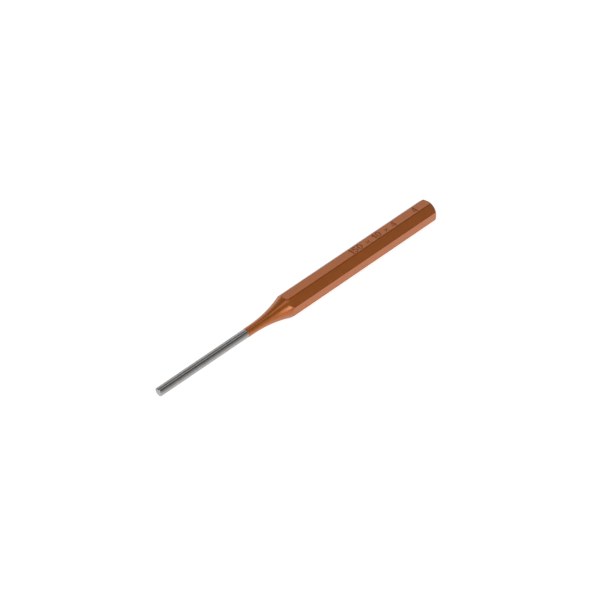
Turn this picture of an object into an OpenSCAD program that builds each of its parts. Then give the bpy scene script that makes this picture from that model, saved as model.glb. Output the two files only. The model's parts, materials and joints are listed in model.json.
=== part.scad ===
// Octagonal pin punch: one piece of steel under a coat of copper-coloured lacquer.
// It lies along X on one of its flats, with the tip at -X, the striking face at +X and Z up.
// The origin is halfway along the punch, on the surface that it lies on.

/* [Overall] */
// Length from the tip of the pin to the lacquered striking face
overall_length = 150; // [130:1:200]

/* [Shank] */
// Width of the octagonal steel bar across its flats
across_flats = 10; // [8:0.1:14]
// Radius along the eight long edges of the bar
edge_radius = 0.5; // [0.2:0.05:1]

/* [Head] */
// Width of the turned bevel round the striking face, from the flats inwards
head_bevel = 0.9; // [0.3:0.1:2]

/* [Neck] */
// Radius of the hollow curve that leads up to the shank
neck_radius = 54; // [40:1:70]
// Length of the slow taper between the ground pin and the hollow curve
taper_length = 3.2; // [1:0.1:10]
// How much the slow taper adds to the pin's radius
taper_rise = 0.03; // [0.01:0.01:0.2]

/* [Pin] */
// Diameter of the ground pin
pin_diameter = 3.9; // [2:0.1:6]
// Length of the ground pin, from its tip to the edge of the lacquer
pin_length = 45.8; // [30:0.1:60]
// Chamfer round the tip of the pin
tip_chamfer = 0.2; // [0.1:0.05:0.6]

/* [Lacquer] */
// Thickness of the lacquer over the head, shank and neck
lacquer_thickness = 0.08; // [0.04:0.01:0.2]

/* [Hidden] */

$fn = 240;

// Flats of the bar, and the angle from one flat to the next
flats = 8;
flat_step = 360 / flats;

pin_radius = pin_diameter / 2;
face_radius = across_flats / 2 - head_bevel;
blank_length = overall_length - lacquer_thickness;
axis_height = across_flats / 2 + lacquer_thickness;

// Where the hollow curve of the neck starts, along the axis from the tip and out from the axis
neck_start = pin_length + taper_length;
neck_foot = pin_radius + taper_rise;

// Radius of the round outline that the flats are cut from, well clear of their corners
stock_radius = across_flats;

// Cutting tools reach past the faces that they cut by this much
cut_margin = 1;

// How far the edge between the bevel and the striking face moves outwards for each unit of coat
bevel_angle = 45;
bevel_spread = tan(bevel_angle / 2);

steel_colour = [0.62, 0.62, 0.61];
lacquer_colour = [0.65, 0.38, 0.23];

function flat_normal(k) = [cos(flat_step * k), sin(flat_step * k)];
function corner_normal(k) = [cos(flat_step * (k + 0.5)), sin(flat_step * (k + 0.5))];

// Section of the bar: straight flats joined by an arc at each corner
module bar_section(width, corner_radius) {
    arc_centre = (width / 2 - corner_radius) / cos(flat_step / 2);
    polygon([
        for (k = [0 : flats - 1], side = [0, 1])
            arc_centre * corner_normal(k) + corner_radius * flat_normal(k + side)
    ]);
    for (k = [0 : flats - 1])
        translate(arc_centre * corner_normal(k))
            circle(r = corner_radius);
}

// Half section of everything that is round: pin, hollow neck and bevelled head, along +Y from the tip
module turned_section(coat) {
    wall = pin_radius + coat;
    end = blank_length + coat;
    face = face_radius + coat * bevel_spread;
    bevel_start = end - (stock_radius - face) * tan(bevel_angle);
    difference() {
        polygon([
            [0, 0],
            [wall - tip_chamfer, 0],
            [wall, tip_chamfer],
            [wall, pin_length],
            [neck_foot + coat, neck_start],
            [stock_radius, neck_start],
            [stock_radius, bevel_start],
            [face, end],
            [0, end]
        ]);
        translate([neck_foot + neck_radius, neck_start])
            circle(r = neck_radius - coat);
    }
}

// The punch standing on its tip, with its surface moved outwards by the thickness of a coat
module punch_form(coat) {
    intersection() {
        rotate_extrude()
            turned_section(coat);
        translate([0, 0, -cut_margin])
            linear_extrude(overall_length + 2 * cut_margin)
                bar_section(across_flats + 2 * coat, edge_radius + coat);
    }
}

// Lays a punch that stands on its tip down along X, on one of its flats
module lay_down() {
    translate([-overall_length / 2, 0, axis_height])
        rotate([0, 90, 0])
            children();
}

// The steel punch: pin, neck and shank in one piece
module steel_blank() {
    color(steel_colour)
        lay_down()
            punch_form(0);
}

// The lacquer film over the head, shank and neck, open where the ground pin comes out
module lacquer_coat() {
    color(lacquer_colour)
        lay_down()
            difference() {
                punch_form(lacquer_thickness);
                punch_form(0);
                translate([0, 0, -cut_margin])
                    cylinder(h = pin_length + cut_margin, r = stock_radius);
            }
}

steel_blank();
lacquer_coat();
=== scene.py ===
import json
import math

import bpy
import numpy as np
from mathutils import Matrix, Vector

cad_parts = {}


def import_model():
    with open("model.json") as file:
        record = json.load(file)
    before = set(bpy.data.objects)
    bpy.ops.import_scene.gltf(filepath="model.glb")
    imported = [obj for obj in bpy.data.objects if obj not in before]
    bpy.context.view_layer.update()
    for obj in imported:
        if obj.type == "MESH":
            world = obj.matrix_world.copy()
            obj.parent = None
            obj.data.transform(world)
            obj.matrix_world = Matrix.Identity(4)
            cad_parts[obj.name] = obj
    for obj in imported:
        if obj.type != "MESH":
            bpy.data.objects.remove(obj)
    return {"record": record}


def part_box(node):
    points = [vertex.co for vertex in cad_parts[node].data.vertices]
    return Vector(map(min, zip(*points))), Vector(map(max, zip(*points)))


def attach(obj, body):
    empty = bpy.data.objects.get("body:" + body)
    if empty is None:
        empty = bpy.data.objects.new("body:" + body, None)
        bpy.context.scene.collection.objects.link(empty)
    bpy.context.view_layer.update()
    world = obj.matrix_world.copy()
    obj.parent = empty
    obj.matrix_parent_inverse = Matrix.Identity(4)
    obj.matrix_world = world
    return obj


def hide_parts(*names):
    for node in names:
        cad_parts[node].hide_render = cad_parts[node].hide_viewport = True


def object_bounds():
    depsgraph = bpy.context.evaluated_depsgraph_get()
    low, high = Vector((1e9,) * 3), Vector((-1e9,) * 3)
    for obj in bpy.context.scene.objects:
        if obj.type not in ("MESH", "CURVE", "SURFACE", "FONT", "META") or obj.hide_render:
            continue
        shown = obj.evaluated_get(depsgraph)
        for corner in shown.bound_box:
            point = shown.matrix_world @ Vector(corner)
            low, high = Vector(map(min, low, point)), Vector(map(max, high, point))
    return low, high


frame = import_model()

CAD_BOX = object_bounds()
MM = 0.001

# Sizes of the punch, in metres: from the frame where it has them, the rest as in the part's source
STEEL_LOW, STEEL_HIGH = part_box("steel_blank")
COAT_LOW, COAT_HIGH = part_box("lacquer_coat")
MOUNTS = {m["name"]: m for m in frame["record"]["mounts"]}
TIP_X = STEEL_LOW.x
BLANK_END_X = STEEL_HIGH.x
RIM_X = COAT_LOW.x
FILM = COAT_HIGH.x - STEEL_HIGH.x
AXIS_Z = (STEEL_LOW.z + STEEL_HIGH.z) / 2
BAR_HALF = (STEEL_HIGH.z - STEEL_LOW.z) / 2
PIN_RADIUS = MOUNTS["drive_pin"]["dims"]["r_mm"] * MM
EDGE_RADIUS = 0.5 * MM
HEAD_BEVEL = 0.9 * MM
BEVEL_ANGLE = math.radians(45)
NECK_RADIUS = 54 * MM
TAPER_LENGTH = 3.2 * MM
TAPER_RISE = 0.03 * MM
TIP_CHAMFER = 0.2 * MM
FLATS = 8

# Worked out from those sizes
NECK_X = RIM_X + TAPER_LENGTH
NECK_FOOT = PIN_RADIUS + TAPER_RISE
FACE_RADIUS = BAR_HALF - HEAD_BEVEL
FLAT_STEP = math.tau / FLATS
BEVEL_SPREAD = math.tan(BEVEL_ANGLE / 2)

# Small roundings, as the length that each takes from the faces beside it
SHOULDER_TRIM = 0.15 * MM
BEVEL_TRIM = 0.09 * MM
TIP_TRIM = 0.03 * MM
ROUND_STEPS = 5

# Spacing of the mesh
COLUMN_SUPPORT = 0.05 * MM
ROW_SUPPORT = 0.1 * MM
FLAT_COLUMNS = 5
ARC_STEPS = 6
NECK_ROWS = 28
PIN_ROWS = 24
PLAIN_GRID = 3.5 * MM
STAMP_GRID = 0.105 * MM

# Where the rows that cross the flats start, clear of the shoulder
FLATS_X = TIP_X + 69.2 * MM

# Rings of the mesh: on the striking face and the tip as shares of their radius, along the taper as shares
# of its length, and on the lacquer's rim in degrees of its quarter round
FACE_SHARES = (0.9, 0.6, 0.3, 0.08)
TIP_SHARES = (0.1, 0.5, 0.85)
TAPER_SHARES = (0.06, 0.2, 0.4, 0.6, 0.8)
RIM_DEGREES = (15, 40, 65, 90)

# Stamped on the top flat, each with its middle along x: length, width and pin size in millimetres,
# and the pin size once more by the head
STAMPS = (("150 x 10 x 4", 42 * MM), ("4", 66.3 * MM))
STAMP_HEIGHT = 2.9 * MM
STAMP_DEPTH = 0.22 * MM
STAMP_HALF_WIDTH = 0.34 * MM
STAMP_GAP = 0.95 * MM


# Figures for the stamp, as strokes in a box one unit high
def arc(centre, radii, start, end, steps=24):
    """Points on an ellipse from one angle to another, in degrees."""
    angles = np.radians(np.linspace(start, end, steps))
    return np.stack([centre[0] + radii[0] * np.cos(angles), centre[1] + radii[1] * np.sin(angles)], -1)


# Each figure's width and strokes
FIGURES = {
    "0": (0.58, [arc((0.29, 0.5), (0.29, 0.5), 0, 360)]),
    "1": (0.30, [np.array([(0.0, 0.74), (0.24, 1.0), (0.24, 0.0)])]),
    "4": (0.62, [np.array([(0.46, 0.0), (0.46, 1.0), (0.0, 0.28), (0.62, 0.28)])]),
    "5": (0.58, [
        np.array([(0.54, 1.0), (0.10, 1.0), (0.05, 0.52)]),
        arc((0.27, 0.33), (0.31, 0.33), 138, -140),
    ]),
    " ": (0.34, []),
    "x": (0.44, [np.array([(0.0, 0.10), (0.44, 0.54)]), np.array([(0.0, 0.54), (0.44, 0.10)])]),
}


def stamp_strokes():
    """All stamped strokes, as points (x, y) on the top flat, and the reach of each group along x."""
    margin = 2 * STAMP_HALF_WIDTH
    strokes, reaches = [], []
    for text, middle in STAMPS:
        widths = [FIGURES[c][0] * STAMP_HEIGHT for c in text]
        half = (sum(widths) + STAMP_GAP * (len(text) - 1)) / 2
        reaches.append((middle - half - margin, middle + half + margin))
        at = middle - half
        for figure, width in zip(text, widths):
            corner = np.array([at, -STAMP_HEIGHT / 2])
            strokes += [stroke * STAMP_HEIGHT + corner for stroke in FIGURES[figure][1]]
            at += width + STAMP_GAP
    return strokes, reaches


STROKES, STAMP_REACHES = stamp_strokes()


def stamp_depth(x, y):
    """Depth of the stamped groove at points of the top flat, deepest along the strokes."""
    nearest = np.full(x.shape, np.inf)
    for stroke in STROKES:
        for start, end in zip(stroke[:-1], stroke[1:]):
            along = end - start
            t = ((x - start[0]) * along[0] + (y - start[1]) * along[1]) / (along @ along)
            t = np.clip(t, 0, 1)
            nearest = np.minimum(nearest, np.hypot(x - start[0] - t * along[0], y - start[1] - t * along[1]))
    t = np.clip(nearest / STAMP_HALF_WIDTH, 0, 1)
    return STAMP_DEPTH * (1 - t * t * (3 - 2 * t))


# The bar's section: once round from the top flat, as points (y, z) about the axis with their outward normals
def section():
    """Points of the steel bar's section, their normals, and which lie on the top flat or on an edge."""
    flat_half = (BAR_HALF - EDGE_RADIUS) * math.tan(FLAT_STEP / 2)
    inner = flat_half - COLUMN_SUPPORT
    points, normals, on_top, on_edge = [], [], [], []
    for k in range(FLATS):
        turn = math.pi / 2 + k * FLAT_STEP
        normal = np.array([math.cos(turn), math.sin(turn)])
        tangent = np.array([-normal[1], normal[0]])
        count = round(2 * inner / STAMP_GRID) if k == 0 else FLAT_COLUMNS
        for t in [-flat_half, *np.linspace(-inner, inner, count), flat_half]:
            points.append(BAR_HALF * normal + t * tangent)
            normals.append(normal)
            on_top.append(k == 0)
            on_edge.append(abs(abs(t) - flat_half) < COLUMN_SUPPORT / 2)
        corner = (BAR_HALF - EDGE_RADIUS) * normal + flat_half * tangent
        for step in range(1, ARC_STEPS):
            angle = turn + FLAT_STEP * step / ARC_STEPS
            normal_here = np.array([math.cos(angle), math.sin(angle)])
            points.append(corner + EDGE_RADIUS * normal_here)
            normals.append(normal_here)
            on_top.append(False)
            on_edge.append(True)
    return np.array(points), np.array(normals), np.array(on_top), np.array(on_edge)


SECTION, SECTION_NORMALS, ON_TOP, ON_EDGE = section()
COLUMNS = len(SECTION)


def rounded(before, corner, after):
    """Points (x, r) of a soft corner between two points, as a quadratic curve."""
    t = np.linspace(0, 1, ROUND_STEPS)[:, None, None]
    return (1 - t) ** 2 * before + 2 * t * (1 - t) * corner + t ** 2 * after


def flat_stations():
    """Places along x of the rows that cross the flats, close together where something is stamped."""
    stations = [FLATS_X]
    for start, end in STAMP_REACHES:
        plain = round((start - stations[-1]) / PLAIN_GRID)
        close = round((end - start) / STAMP_GRID)
        stations += list(np.linspace(stations[-1], start, plain + 1)[1:])
        stations += list(np.linspace(start, end, close + 1)[1:])
    return stations


def bar_rows(coat):
    """Rows of points over the neck, shank and head, moved out by a coat: an array (rows, columns, 3).

    The first row is where the hollow neck starts and the last one the inmost ring of the striking face.
    """
    outline = SECTION + coat * SECTION_NORMALS
    reach = np.linalg.norm(outline, axis=1)
    ways = outline / reach[:, None]
    sweep = NECK_RADIUS - coat
    centre_r = NECK_FOOT + NECK_RADIUS
    shoulder_x = NECK_X + np.sqrt(sweep ** 2 - (centre_r - reach) ** 2)
    neck_end = shoulder_x - SHOULDER_TRIM
    flat_start = shoulder_x + SHOULDER_TRIM
    end_x = BLANK_END_X + coat
    face_r = FACE_RADIUS + coat * BEVEL_SPREAD
    bevel_x = end_x - (reach - face_r)
    flat_end = bevel_x - BEVEL_TRIM
    slant = BEVEL_TRIM / math.sqrt(2)
    same = np.ones_like(reach)

    def neck_r(x):
        return centre_r - np.sqrt(sweep ** 2 - (x - NECK_X) ** 2)

    def pair(x, r):
        return np.stack([x * same, r * same], -1)

    # Neck and shoulder
    rows = []
    for share in np.linspace(0, 1, NECK_ROWS):
        x = NECK_X + share * (neck_end - NECK_X)
        rows.append(pair(x, neck_r(x)))
    neck_last = pair(neck_end, neck_r(neck_end))
    rows += list(rounded(neck_last, pair(shoulder_x, reach), pair(flat_start, reach)))[1:]

    # Flats
    rows.append(pair(flat_start + ROW_SUPPORT, reach))
    rows += [pair(x, reach) for x in flat_stations()]
    rows.append(pair(flat_end - ROW_SUPPORT, reach))

    # Bevel and striking face
    rows += list(rounded(pair(flat_end, reach), pair(bevel_x, reach), pair(bevel_x + slant, reach - slant)))
    rows.append(pair((bevel_x + end_x) / 2, (reach + face_r) / 2))
    rows += list(rounded(
        pair(end_x - slant, face_r + slant), pair(end_x, face_r), pair(end_x, face_r - BEVEL_TRIM)))
    rows += [pair(end_x, share * face_r) for share in FACE_SHARES]

    rows = np.array(rows)
    grid = np.concatenate([rows[:, :, :1], rows[:, :, 1:] * ways], -1)
    stamped = stamp_depth(grid[:, :, 0], grid[:, :, 1]) * ON_TOP
    on_flat = (rows[:, :, 0] > flat_start) & (rows[:, :, 0] < flat_end)
    grid[:, :, 1:] -= (stamped * on_flat)[:, :, None] * SECTION_NORMALS
    return grid


def ring(x, r):
    """One round row of points on the axis, at x, with the columns of the bar's section."""
    ways = SECTION / np.linalg.norm(SECTION, axis=1)[:, None]
    return np.concatenate([np.full((COLUMNS, 1), x), r * ways], -1)


def grid_normals(grid):
    """Normals of a grid of points that closes on itself round the axis, from the neighbours of each."""
    def slope(back, ahead):
        b = np.linalg.norm(back, axis=-1, keepdims=True)
        a = np.linalg.norm(ahead, axis=-1, keepdims=True)
        return a / b * back + b / a * ahead

    around = slope(grid - np.roll(grid, 1, 1), np.roll(grid, -1, 1) - grid)
    steps = grid[1:] - grid[:-1]
    lengthwise = np.empty_like(grid)
    lengthwise[1:-1] = slope(steps[:-1], steps[1:])
    lengthwise[0], lengthwise[-1] = steps[0], steps[-1]
    normal = np.cross(around, lengthwise)
    return normal / np.linalg.norm(normal, axis=-1, keepdims=True)


# Faces, from the index of the first point of each row
def band_faces(first, second):
    """Quads between two rows."""
    return [
        (first + j, first + (j + 1) % COLUMNS, second + (j + 1) % COLUMNS, second + j)
        for j in range(COLUMNS)
    ]


def skin_faces(first, rows):
    """Quads over a number of rows that follow each other."""
    faces = []
    for i in range(rows - 1):
        faces += band_faces(first + i * COLUMNS, first + (i + 1) * COLUMNS)
    return faces


def cap_faces(row, centre):
    """Triangles from a row to one middle point."""
    return [(row + j, row + (j + 1) % COLUMNS, centre) for j in range(COLUMNS)]


def flipped(faces):
    """The same faces, turned to look the other way."""
    return [face[::-1] for face in faces]


def make_object(name, points, normals, faces, material):
    """A smooth mesh object in the frame of the part, with the normals given."""
    mesh = bpy.data.meshes.new(name)
    placed = np.clip(points + (0, 0, AXIS_Z), CAD_BOX[0], CAD_BOX[1])
    mesh.from_pydata(placed.tolist(), [], faces)
    mesh.polygons.foreach_set("use_smooth", [True] * len(faces))
    mesh.normals_split_custom_set_from_vertices([tuple(n) for n in normals])
    mesh.materials.append(material)
    obj = bpy.data.objects.new(name, mesh)
    bpy.context.scene.collection.objects.link(obj)
    return obj


def add_mask(obj, name, values):
    """Stores one number for each point of a mesh, for its material to read."""
    layer = obj.data.attributes.new(name, "FLOAT", "POINT")
    layer.data.foreach_set("value", np.asarray(values, np.float32))


# Helpers for node materials
def new_material(name):
    """A material with an empty node tree, and that tree."""
    material = bpy.data.materials.new(name)
    material.use_nodes = True
    tree = material.node_tree
    tree.nodes.clear()
    return material, tree


def node(tree, kind, **settings):
    """A new node of a kind, with its settings."""
    made = tree.nodes.new(kind)
    for key, value in settings.items():
        setattr(made, key, value)
    return made


def link(tree, source, target):
    """Joins an output to an input."""
    tree.links.new(source, target)


def noise(tree, vector, scale, detail=2.0, roughness=0.5):
    """Soft noise from 0 to 1, mostly near the middle."""
    made = node(tree, "ShaderNodeTexNoise")
    made.inputs["Scale"].default_value = scale
    made.inputs["Detail"].default_value = detail
    made.inputs["Roughness"].default_value = roughness
    link(tree, vector, made.inputs["Vector"])
    return made.outputs["Fac"]


def ramp(tree, value, low, high, to_low, to_high):
    """A value from one range, clamped and moved to another."""
    made = node(tree, "ShaderNodeMapRange")
    for key, number in (("From Min", low), ("From Max", high), ("To Min", to_low), ("To Max", to_high)):
        made.inputs[key].default_value = number
    link(tree, value, made.inputs["Value"])
    return made.outputs["Result"]


def maths(tree, operation, first, second):
    """Two values joined by an operation."""
    made = node(tree, "ShaderNodeMath", operation=operation)
    link(tree, first, made.inputs[0])
    link(tree, second, made.inputs[1])
    return made.outputs["Value"]


def mix_colour(tree, share, first, second):
    """A mix of two colours, each a tuple or an output."""
    made = node(tree, "ShaderNodeMix", data_type="RGBA")
    link(tree, share, made.inputs["Factor"])
    for socket, colour in ((made.inputs["A"], first), (made.inputs["B"], second)):
        if isinstance(colour, tuple):
            socket.default_value = (*colour, 1)
        else:
            link(tree, colour, socket)
    return made.outputs["Result"]


def mask(tree, name):
    """A number that a mesh stores for each of its points."""
    return node(tree, "ShaderNodeAttribute", attribute_name=name).outputs["Fac"]


def object_coordinates(tree, scale=(1, 1, 1)):
    """Places in the object's own metres, stretched by a scale."""
    where = node(tree, "ShaderNodeTexCoord")
    stretch = node(tree, "ShaderNodeMapping")
    stretch.inputs["Scale"].default_value = scale
    link(tree, where.outputs["Object"], stretch.inputs["Vector"])
    return stretch.outputs["Vector"]


def bump(tree, height, distance):
    """A normal from a height between 0 and 1, whose full height is a distance."""
    made = node(tree, "ShaderNodeBump")
    made.inputs["Strength"].default_value = 1.0
    made.inputs["Distance"].default_value = distance
    link(tree, height, made.inputs["Height"])
    return made.outputs["Normal"]


def show(tree, surface):
    """Makes a shader the surface of its material."""
    out = node(tree, "ShaderNodeOutputMaterial")
    link(tree, surface, out.inputs["Surface"])


# Parts of a noise's range: nearly all of it, and its peaks alone
NOISE_SPAN = (0.3, 0.7)
NOISE_PEAKS = (0.45, 0.75)

# Lacquer: its colours, the share that each of the later ones takes at most, and its finish
LACQUER_DARK = (0.570, 0.136, 0.004)
LACQUER_LIGHT = (0.620, 0.149, 0.006)
LACQUER_FLAKE = (0.680, 0.194, 0.014)
# On the edges and the bevel: partly thinner lacquer, partly painted shade that stands in for their darker
# reflections
LACQUER_EDGE_SHADE = (0.400, 0.085, 0.002)
# In the stamped grooves: partly pooled lacquer, partly painted shade in the recesses
LACQUER_GROOVE_SHADE = (0.295, 0.058, 0.002)
FLAKE_SHARE = 0.35
EDGE_SHADE_SHARE = 0.95
GROOVE_SHADE_SHARE = 0.4
GROOVE_FULL = 0.8
LACQUER_METALLIC = 0.58
LACQUER_ROUGHNESS = (0.28, 0.36)
COAT_WEIGHT = 1
COAT_WEIGHT_ON_EDGES = 0.4
COAT_ROUGHNESS = 0.22
COAT_IOR = 1.52
FLOW_HEIGHT = 0.004 * MM

# Scales of the lacquer's noises, in waves to a metre
CLOUD_SCALE = 260
FLAKE_SCALE = 9000
FLOW_SCALE = 1400

# Where the darker edge tone, thinner lacquer and painted shade, starts along the bar's edges, on the
# shoulder
EDGE_SHADE_X = TIP_X + 66.5 * MM


def lacquer_material():
    """Copper-coloured metallic lacquer: flow marks, fine flake, darker edges and bevel (thinner film and
    painted shade), darker grooves (pooled film and painted shade).
    """
    material, tree = new_material("copper_lacquer")
    where = object_coordinates(tree)
    clouds = noise(tree, where, CLOUD_SCALE)
    flake = noise(tree, where, FLAKE_SCALE, detail=1.0)
    flow = noise(tree, where, FLOW_SCALE)
    edge = mask(tree, "edge")
    groove = mask(tree, "groove")
    base = mix_colour(tree, ramp(tree, clouds, *NOISE_SPAN, 0, 1), LACQUER_DARK, LACQUER_LIGHT)
    base = mix_colour(tree, ramp(tree, flake, *NOISE_PEAKS, 0, FLAKE_SHARE), base, LACQUER_FLAKE)
    # Edges and bevel: thinner lacquer and painted shade
    base = mix_colour(tree, ramp(tree, edge, 0, 1, 0, EDGE_SHADE_SHARE), base, LACQUER_EDGE_SHADE)
    # Stamped grooves: pooled lacquer and painted shade
    base = mix_colour(tree, ramp(tree, groove, 0, GROOVE_FULL, 0, GROOVE_SHADE_SHARE), base, LACQUER_GROOVE_SHADE)
    shader = node(tree, "ShaderNodeBsdfPrincipled")
    shader.inputs["Metallic"].default_value = LACQUER_METALLIC
    link(tree, ramp(tree, edge, 0, 1, COAT_WEIGHT, COAT_WEIGHT_ON_EDGES), shader.inputs["Coat Weight"])
    shader.inputs["Coat Roughness"].default_value = COAT_ROUGHNESS
    shader.inputs["Coat IOR"].default_value = COAT_IOR
    link(tree, base, shader.inputs["Base Color"])
    link(tree, ramp(tree, flake, *NOISE_SPAN, *LACQUER_ROUGHNESS), shader.inputs["Roughness"])
    link(tree, bump(tree, flow, FLOW_HEIGHT), shader.inputs["Normal"])
    show(tree, shader.outputs["BSDF"])
    return material


# Steel: its colours, its clouds, its finish, and the noise that draws the fine lines round the pin
STEEL_DARK = (0.368, 0.357, 0.350)
STEEL_LIGHT = (0.504, 0.490, 0.480)
STEEL_CLOUD = (0.347, 0.334, 0.325)
STEEL_CLOUD_SHARE = 0.4
STEEL_CLOUD_SCALE = 450
STEEL_ROUGHNESS = (0.10, 0.15)
LINE_SCALE = (5500, 200, 200)
LINE_DETAIL = 3.0
LINE_ROUGHNESS = 0.65
LINE_HEIGHT = 0.012 * MM


def steel_material():
    """Bright ground steel: fine lines round the pin and faint clouds."""
    material, tree = new_material("ground_steel")
    lines = noise(tree, object_coordinates(tree, LINE_SCALE), 1.0, LINE_DETAIL, LINE_ROUGHNESS)
    clouds = noise(tree, object_coordinates(tree), STEEL_CLOUD_SCALE)
    base = mix_colour(tree, ramp(tree, lines, *NOISE_SPAN, 0, 1), STEEL_DARK, STEEL_LIGHT)
    base = mix_colour(tree, ramp(tree, clouds, *NOISE_PEAKS, 0, STEEL_CLOUD_SHARE), base, STEEL_CLOUD)
    shader = node(tree, "ShaderNodeBsdfPrincipled")
    shader.inputs["Metallic"].default_value = 1.0
    link(tree, base, shader.inputs["Base Color"])
    link(tree, ramp(tree, lines, *NOISE_SPAN, *STEEL_ROUGHNESS), shader.inputs["Roughness"])
    link(tree, bump(tree, lines, LINE_HEIGHT), shader.inputs["Normal"])
    show(tree, shader.outputs["BSDF"])
    return material


# Floor: its half width in metres, its colour, and its glow to the camera and in reflections
FLOOR_HALF = 30.0
FLOOR_COLOUR = (0.60, 0.60, 0.60)
FLOOR_SEEN = 0.84
FLOOR_MIRRORED = 0.72

# Painted contact shadow in reflections: the mirrored glow dies away close to the punch, and is full where
# this share of the sky is open
FLOOR_SHADE_REACH = 25 * MM
FLOOR_CLEAR = 0.7

# Painted shade in reflections: the mirrored glow also fades along an axis, from one place to another, down
# to a share, in front of the punch, behind it and past its head
FLOOR_SHADE_FADES = (
    ("Y", -7 * MM, -45 * MM, 0.36),
    ("Y", 6 * MM, 12 * MM, 0.36),
    ("X", 80 * MM, 92 * MM, 0.10),
)


def floor_material():
    """A pale floor that shows as white to the camera and in reflections, and still takes a shadow; its glow
    in reflections carries painted shade near the punch, in front, behind and past its head.
    """
    material, tree = new_material("pale_floor")
    path = node(tree, "ShaderNodeLightPath")
    nearby = node(tree, "ShaderNodeAmbientOcclusion")
    nearby.inputs["Distance"].default_value = FLOOR_SHADE_REACH
    mirrored = maths(tree, "MAXIMUM", path.outputs["Is Glossy Ray"], path.outputs["Is Transmission Ray"])
    # Painted contact shadow, seen only in reflections
    mirrored = maths(tree, "MULTIPLY", mirrored, ramp(tree, nearby.outputs["AO"], 0, FLOOR_CLEAR, 0, 1))
    place = node(tree, "ShaderNodeSeparateXYZ")
    link(tree, object_coordinates(tree), place.inputs["Vector"])
    # Painted shade in front, behind and past the head, seen only in reflections
    for axis, start, end, far in FLOOR_SHADE_FADES:
        fade = ramp(tree, place.outputs[axis], start, end, 1, far)
        mirrored = maths(tree, "MULTIPLY", mirrored, fade)
    mirrored = ramp(tree, mirrored, 0, 1, 0, FLOOR_MIRRORED)
    direct = ramp(tree, path.outputs["Is Camera Ray"], 0, 1, 0, FLOOR_SEEN)
    glow = node(tree, "ShaderNodeEmission")
    link(tree, maths(tree, "MAXIMUM", direct, mirrored), glow.inputs["Strength"])
    matt = node(tree, "ShaderNodeBsdfDiffuse")
    matt.inputs["Color"].default_value = (*FLOOR_COLOUR, 1)
    both = node(tree, "ShaderNodeAddShader")
    link(tree, matt.outputs["BSDF"], both.inputs[0])
    link(tree, glow.outputs["Emission"], both.inputs[1])
    show(tree, both.outputs["Shader"])
    return material


# The pieces
def lacquer_piece(material):
    """The lacquer as a closed film: outer skin, soft rim on the pin and inner skin against the steel."""
    rim = [
        ring(RIM_X + FILM * (1 - math.cos(a)), PIN_RADIUS + FILM * math.sin(a))
        for a in np.radians(RIM_DEGREES)
    ]
    taper = [
        ring(RIM_X + share * TAPER_LENGTH, PIN_RADIUS + FILM + share * TAPER_RISE)
        for share in TAPER_SHARES
    ]
    outer = np.concatenate([np.array(rim + taper), bar_rows(FILM)])
    inner = np.concatenate([
        np.array([ring(RIM_X, PIN_RADIUS), ring((RIM_X + NECK_X) / 2, (PIN_RADIUS + NECK_FOOT) / 2)]),
        bar_rows(0),
    ])
    inner_start = len(outer) * COLUMNS
    outer_centre = inner_start + len(inner) * COLUMNS
    inner_centre = outer_centre + 1
    faces = skin_faces(0, len(outer))
    faces += cap_faces(inner_start - COLUMNS, outer_centre)
    faces += flipped(skin_faces(inner_start, len(inner)))
    faces += flipped(cap_faces(outer_centre - COLUMNS, inner_centre))
    faces += band_faces(inner_start, 0)
    centres = [(BLANK_END_X + FILM, 0, 0), (BLANK_END_X, 0, 0)]
    points = np.concatenate([outer.reshape(-1, 3), inner.reshape(-1, 3), centres])
    normals = np.concatenate([
        grid_normals(outer).reshape(-1, 3), -grid_normals(inner).reshape(-1, 3), [(1, 0, 0), (-1, 0, 0)]])
    piece = make_object("copper_lacquer_coat", points, normals, faces, material)
    mark_lacquer(piece, outer)
    return piece


def mark_lacquer(piece, outer):
    """Stores where the lacquer's outer skin lies on an edge or the bevel, and where in a stamped groove, as
    masks for the painted shade there.
    """
    x, y = outer[:, :, 0], outer[:, :, 1]
    r = np.linalg.norm(outer[:, :, 1:], axis=-1)
    on_bar = (x > EDGE_SHADE_X) & (x < BLANK_END_X - HEAD_BEVEL) & ON_EDGE
    bevel_sum = BLANK_END_X + FACE_RADIUS + FILM * (1 + BEVEL_SPREAD)
    on_bevel = x + r > bevel_sum - BEVEL_TRIM / 2
    groove = stamp_depth(x, y) / STAMP_DEPTH * ON_TOP
    hidden = np.zeros(len(piece.data.vertices) - x.size)
    add_mask(piece, "edge", np.concatenate([(on_bar | on_bevel).ravel(), hidden]))
    add_mask(piece, "groove", np.concatenate([groove.ravel(), hidden]))


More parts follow.
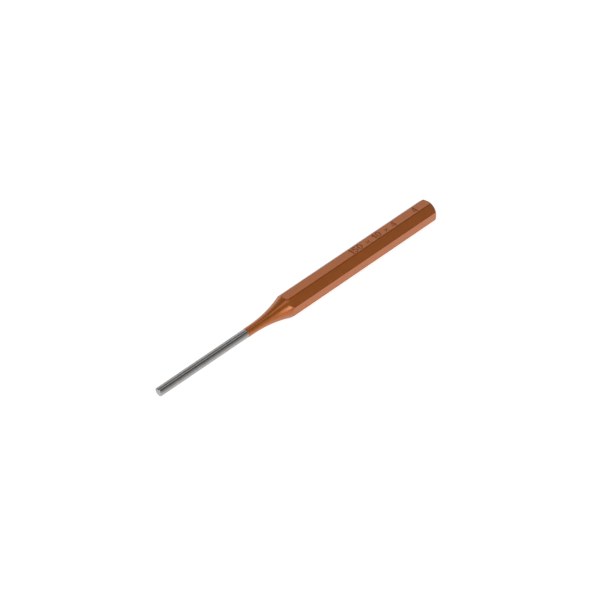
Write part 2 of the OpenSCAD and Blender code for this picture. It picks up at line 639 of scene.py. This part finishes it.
def steel_piece(material):
    """The steel punch in one piece: bright pin with its chamfered tip, and the bar under the lacquer."""
    slant = TIP_TRIM / math.sqrt(2)
    flat_r = PIN_RADIUS - TIP_CHAMFER
    tip = [ring(TIP_X, share * flat_r) for share in TIP_SHARES]
    tip += [
        ring(TIP_X, flat_r - TIP_TRIM),
        ring(TIP_X + slant / 4, flat_r + slant / 4),
        ring(TIP_X + slant, flat_r + slant),
        ring(TIP_X + TIP_CHAMFER - slant, PIN_RADIUS - slant),
        ring(TIP_X + TIP_CHAMFER, PIN_RADIUS - slant / 4),
        ring(TIP_X + TIP_CHAMFER + TIP_TRIM, PIN_RADIUS),
    ]
    pin_start = TIP_X + TIP_CHAMFER + ROW_SUPPORT
    pin = [ring(x, PIN_RADIUS) for x in np.linspace(pin_start, RIM_X, PIN_ROWS)]
    grid = np.concatenate([np.array(tip + pin), bar_rows(0)])
    end_centre = len(grid) * COLUMNS
    tip_centre = end_centre + 1
    faces = skin_faces(0, len(grid))
    faces += cap_faces(end_centre - COLUMNS, end_centre)
    faces += flipped(cap_faces(0, tip_centre))
    points = np.concatenate([grid.reshape(-1, 3), [(BLANK_END_X, 0, 0), (TIP_X, 0, 0)]])
    normals = np.concatenate([grid_normals(grid).reshape(-1, 3), [(1, 0, 0), (-1, 0, 0)]])
    return make_object("steel_punch_body", points, normals, faces, material)


steel = steel_piece(steel_material())
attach(steel, "root")
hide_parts("steel_blank")

lacquer = lacquer_piece(lacquer_material())
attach(lacquer, "root")
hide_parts("lacquer_coat")


# Floor, light and camera
def floor():
    """A wide flat floor at the height of the punch's lower flat."""
    mesh = bpy.data.meshes.new("floor")
    corners = [(x * FLOOR_HALF, y * FLOOR_HALF, 0) for x, y in ((-1, -1), (1, -1), (1, 1), (-1, 1))]
    mesh.from_pydata(corners, [], [(0, 1, 2, 3)])
    mesh.materials.append(floor_material())
    obj = bpy.data.objects.new("floor", mesh)
    bpy.context.scene.collection.objects.link(obj)


# Distance of the lamps in metres, strength of the room and of its low backdrop, and the heights between
# which the one goes over into the other, as sines of the angle above the horizon
LAMP_DISTANCE = 1.0
AMBIENT = 0.135
BACKDROP = 0.95
BACKDROP_FADE = (math.sin(math.radians(5)), math.sin(math.radians(9)))


def softbox(name, azimuth, elevation, size, radiance):
    """A soft area lamp that faces the middle of the punch, from angles in degrees, of a given brightness."""
    data = bpy.data.lights.new(name, "AREA")
    data.shape = "RECTANGLE"
    data.size, data.size_y = size
    data.energy = math.pi * size[0] * size[1] * radiance
    obj = bpy.data.objects.new(name, data)
    a, e = math.radians(azimuth), math.radians(elevation)
    way = Vector((math.cos(e) * math.cos(a), math.cos(e) * math.sin(a), math.sin(e)))
    obj.location = way * LAMP_DISTANCE
    obj.rotation_euler = way.to_track_quat("Z", "Y").to_euler()
    obj.visible_camera = False
    bpy.context.scene.collection.objects.link(obj)


def world():
    """A dim, even studio with a pale backdrop low down all round."""
    made = bpy.data.worlds.new("studio")
    made.use_nodes = True
    tree = made.node_tree
    tree.nodes.clear()
    way = node(tree, "ShaderNodeSeparateXYZ")
    link(tree, node(tree, "ShaderNodeTexCoord").outputs["Generated"], way.inputs["Vector"])
    room = node(tree, "ShaderNodeBackground")
    room.inputs["Color"].default_value = (1, 1, 1, 1)
    link(tree, ramp(tree, way.outputs["Z"], *BACKDROP_FADE, BACKDROP, AMBIENT), room.inputs["Strength"])
    out = node(tree, "ShaderNodeOutputWorld")
    link(tree, room.outputs["Background"], out.inputs["Surface"])
    bpy.context.scene.world = made


# The camera looks at the middle of the punch's axis, moved aside in the picture by a little
CAMERA_AZIMUTH = math.radians(-37.94)
CAMERA_ELEVATION = math.radians(43.32)
CAMERA_ROLL = math.radians(-5.97)
CAMERA_DISTANCE = 804.0 * MM
CAMERA_ASIDE = (-0.23 * MM, 1.23 * MM)
SENSOR_WIDTH = 36.0
FOCAL_PIXELS = 1959.0
IMAGE_PIXELS = 600


def camera():
    """The photograph's view: a long lens from the tip's side, a little rolled."""
    a, e, r = CAMERA_AZIMUTH, CAMERA_ELEVATION, CAMERA_ROLL
    back = Vector((math.sin(a) * math.cos(e), -math.cos(a) * math.cos(e), math.sin(e)))
    level = Vector((math.cos(a), math.sin(a), 0))
    upright = back.cross(level)
    right = math.cos(r) * level + math.sin(r) * upright
    up = -math.sin(r) * level + math.cos(r) * upright
    data = bpy.data.cameras.new("camera")
    data.sensor_width = SENSOR_WIDTH
    data.lens = SENSOR_WIDTH * FOCAL_PIXELS / IMAGE_PIXELS
    obj = bpy.data.objects.new("camera", data)
    aim = Vector((0, 0, AXIS_Z))
    place = aim + CAMERA_DISTANCE * back - CAMERA_ASIDE[0] * right - CAMERA_ASIDE[1] * up
    turn = Matrix((right, up, back)).transposed().to_4x4()
    obj.matrix_world = Matrix.Translation(place) @ turn
    bpy.context.scene.collection.objects.link(obj)
    bpy.context.scene.camera = obj


floor()
world()
softbox("back", azimuth=75, elevation=14, size=(1.30, 0.40), radiance=0.75)
softbox("back_high", azimuth=54, elevation=42, size=(0.90, 0.40), radiance=0.65)
softbox("overhead", azimuth=270, elevation=84, size=(1.30, 0.20), radiance=0.95)
softbox("key", azimuth=255, elevation=18, size=(0.26, 0.50), radiance=3.3)
softbox("left", azimuth=208, elevation=30, size=(0.80, 0.45), radiance=2.0)
softbox("top_left", azimuth=210, elevation=64, size=(0.50, 0.42), radiance=0.40)
softbox("front", azimuth=292, elevation=25, size=(0.75, 0.26), radiance=0.45)
camera()
bpy.context.scene.view_settings.view_transform = "Standard"
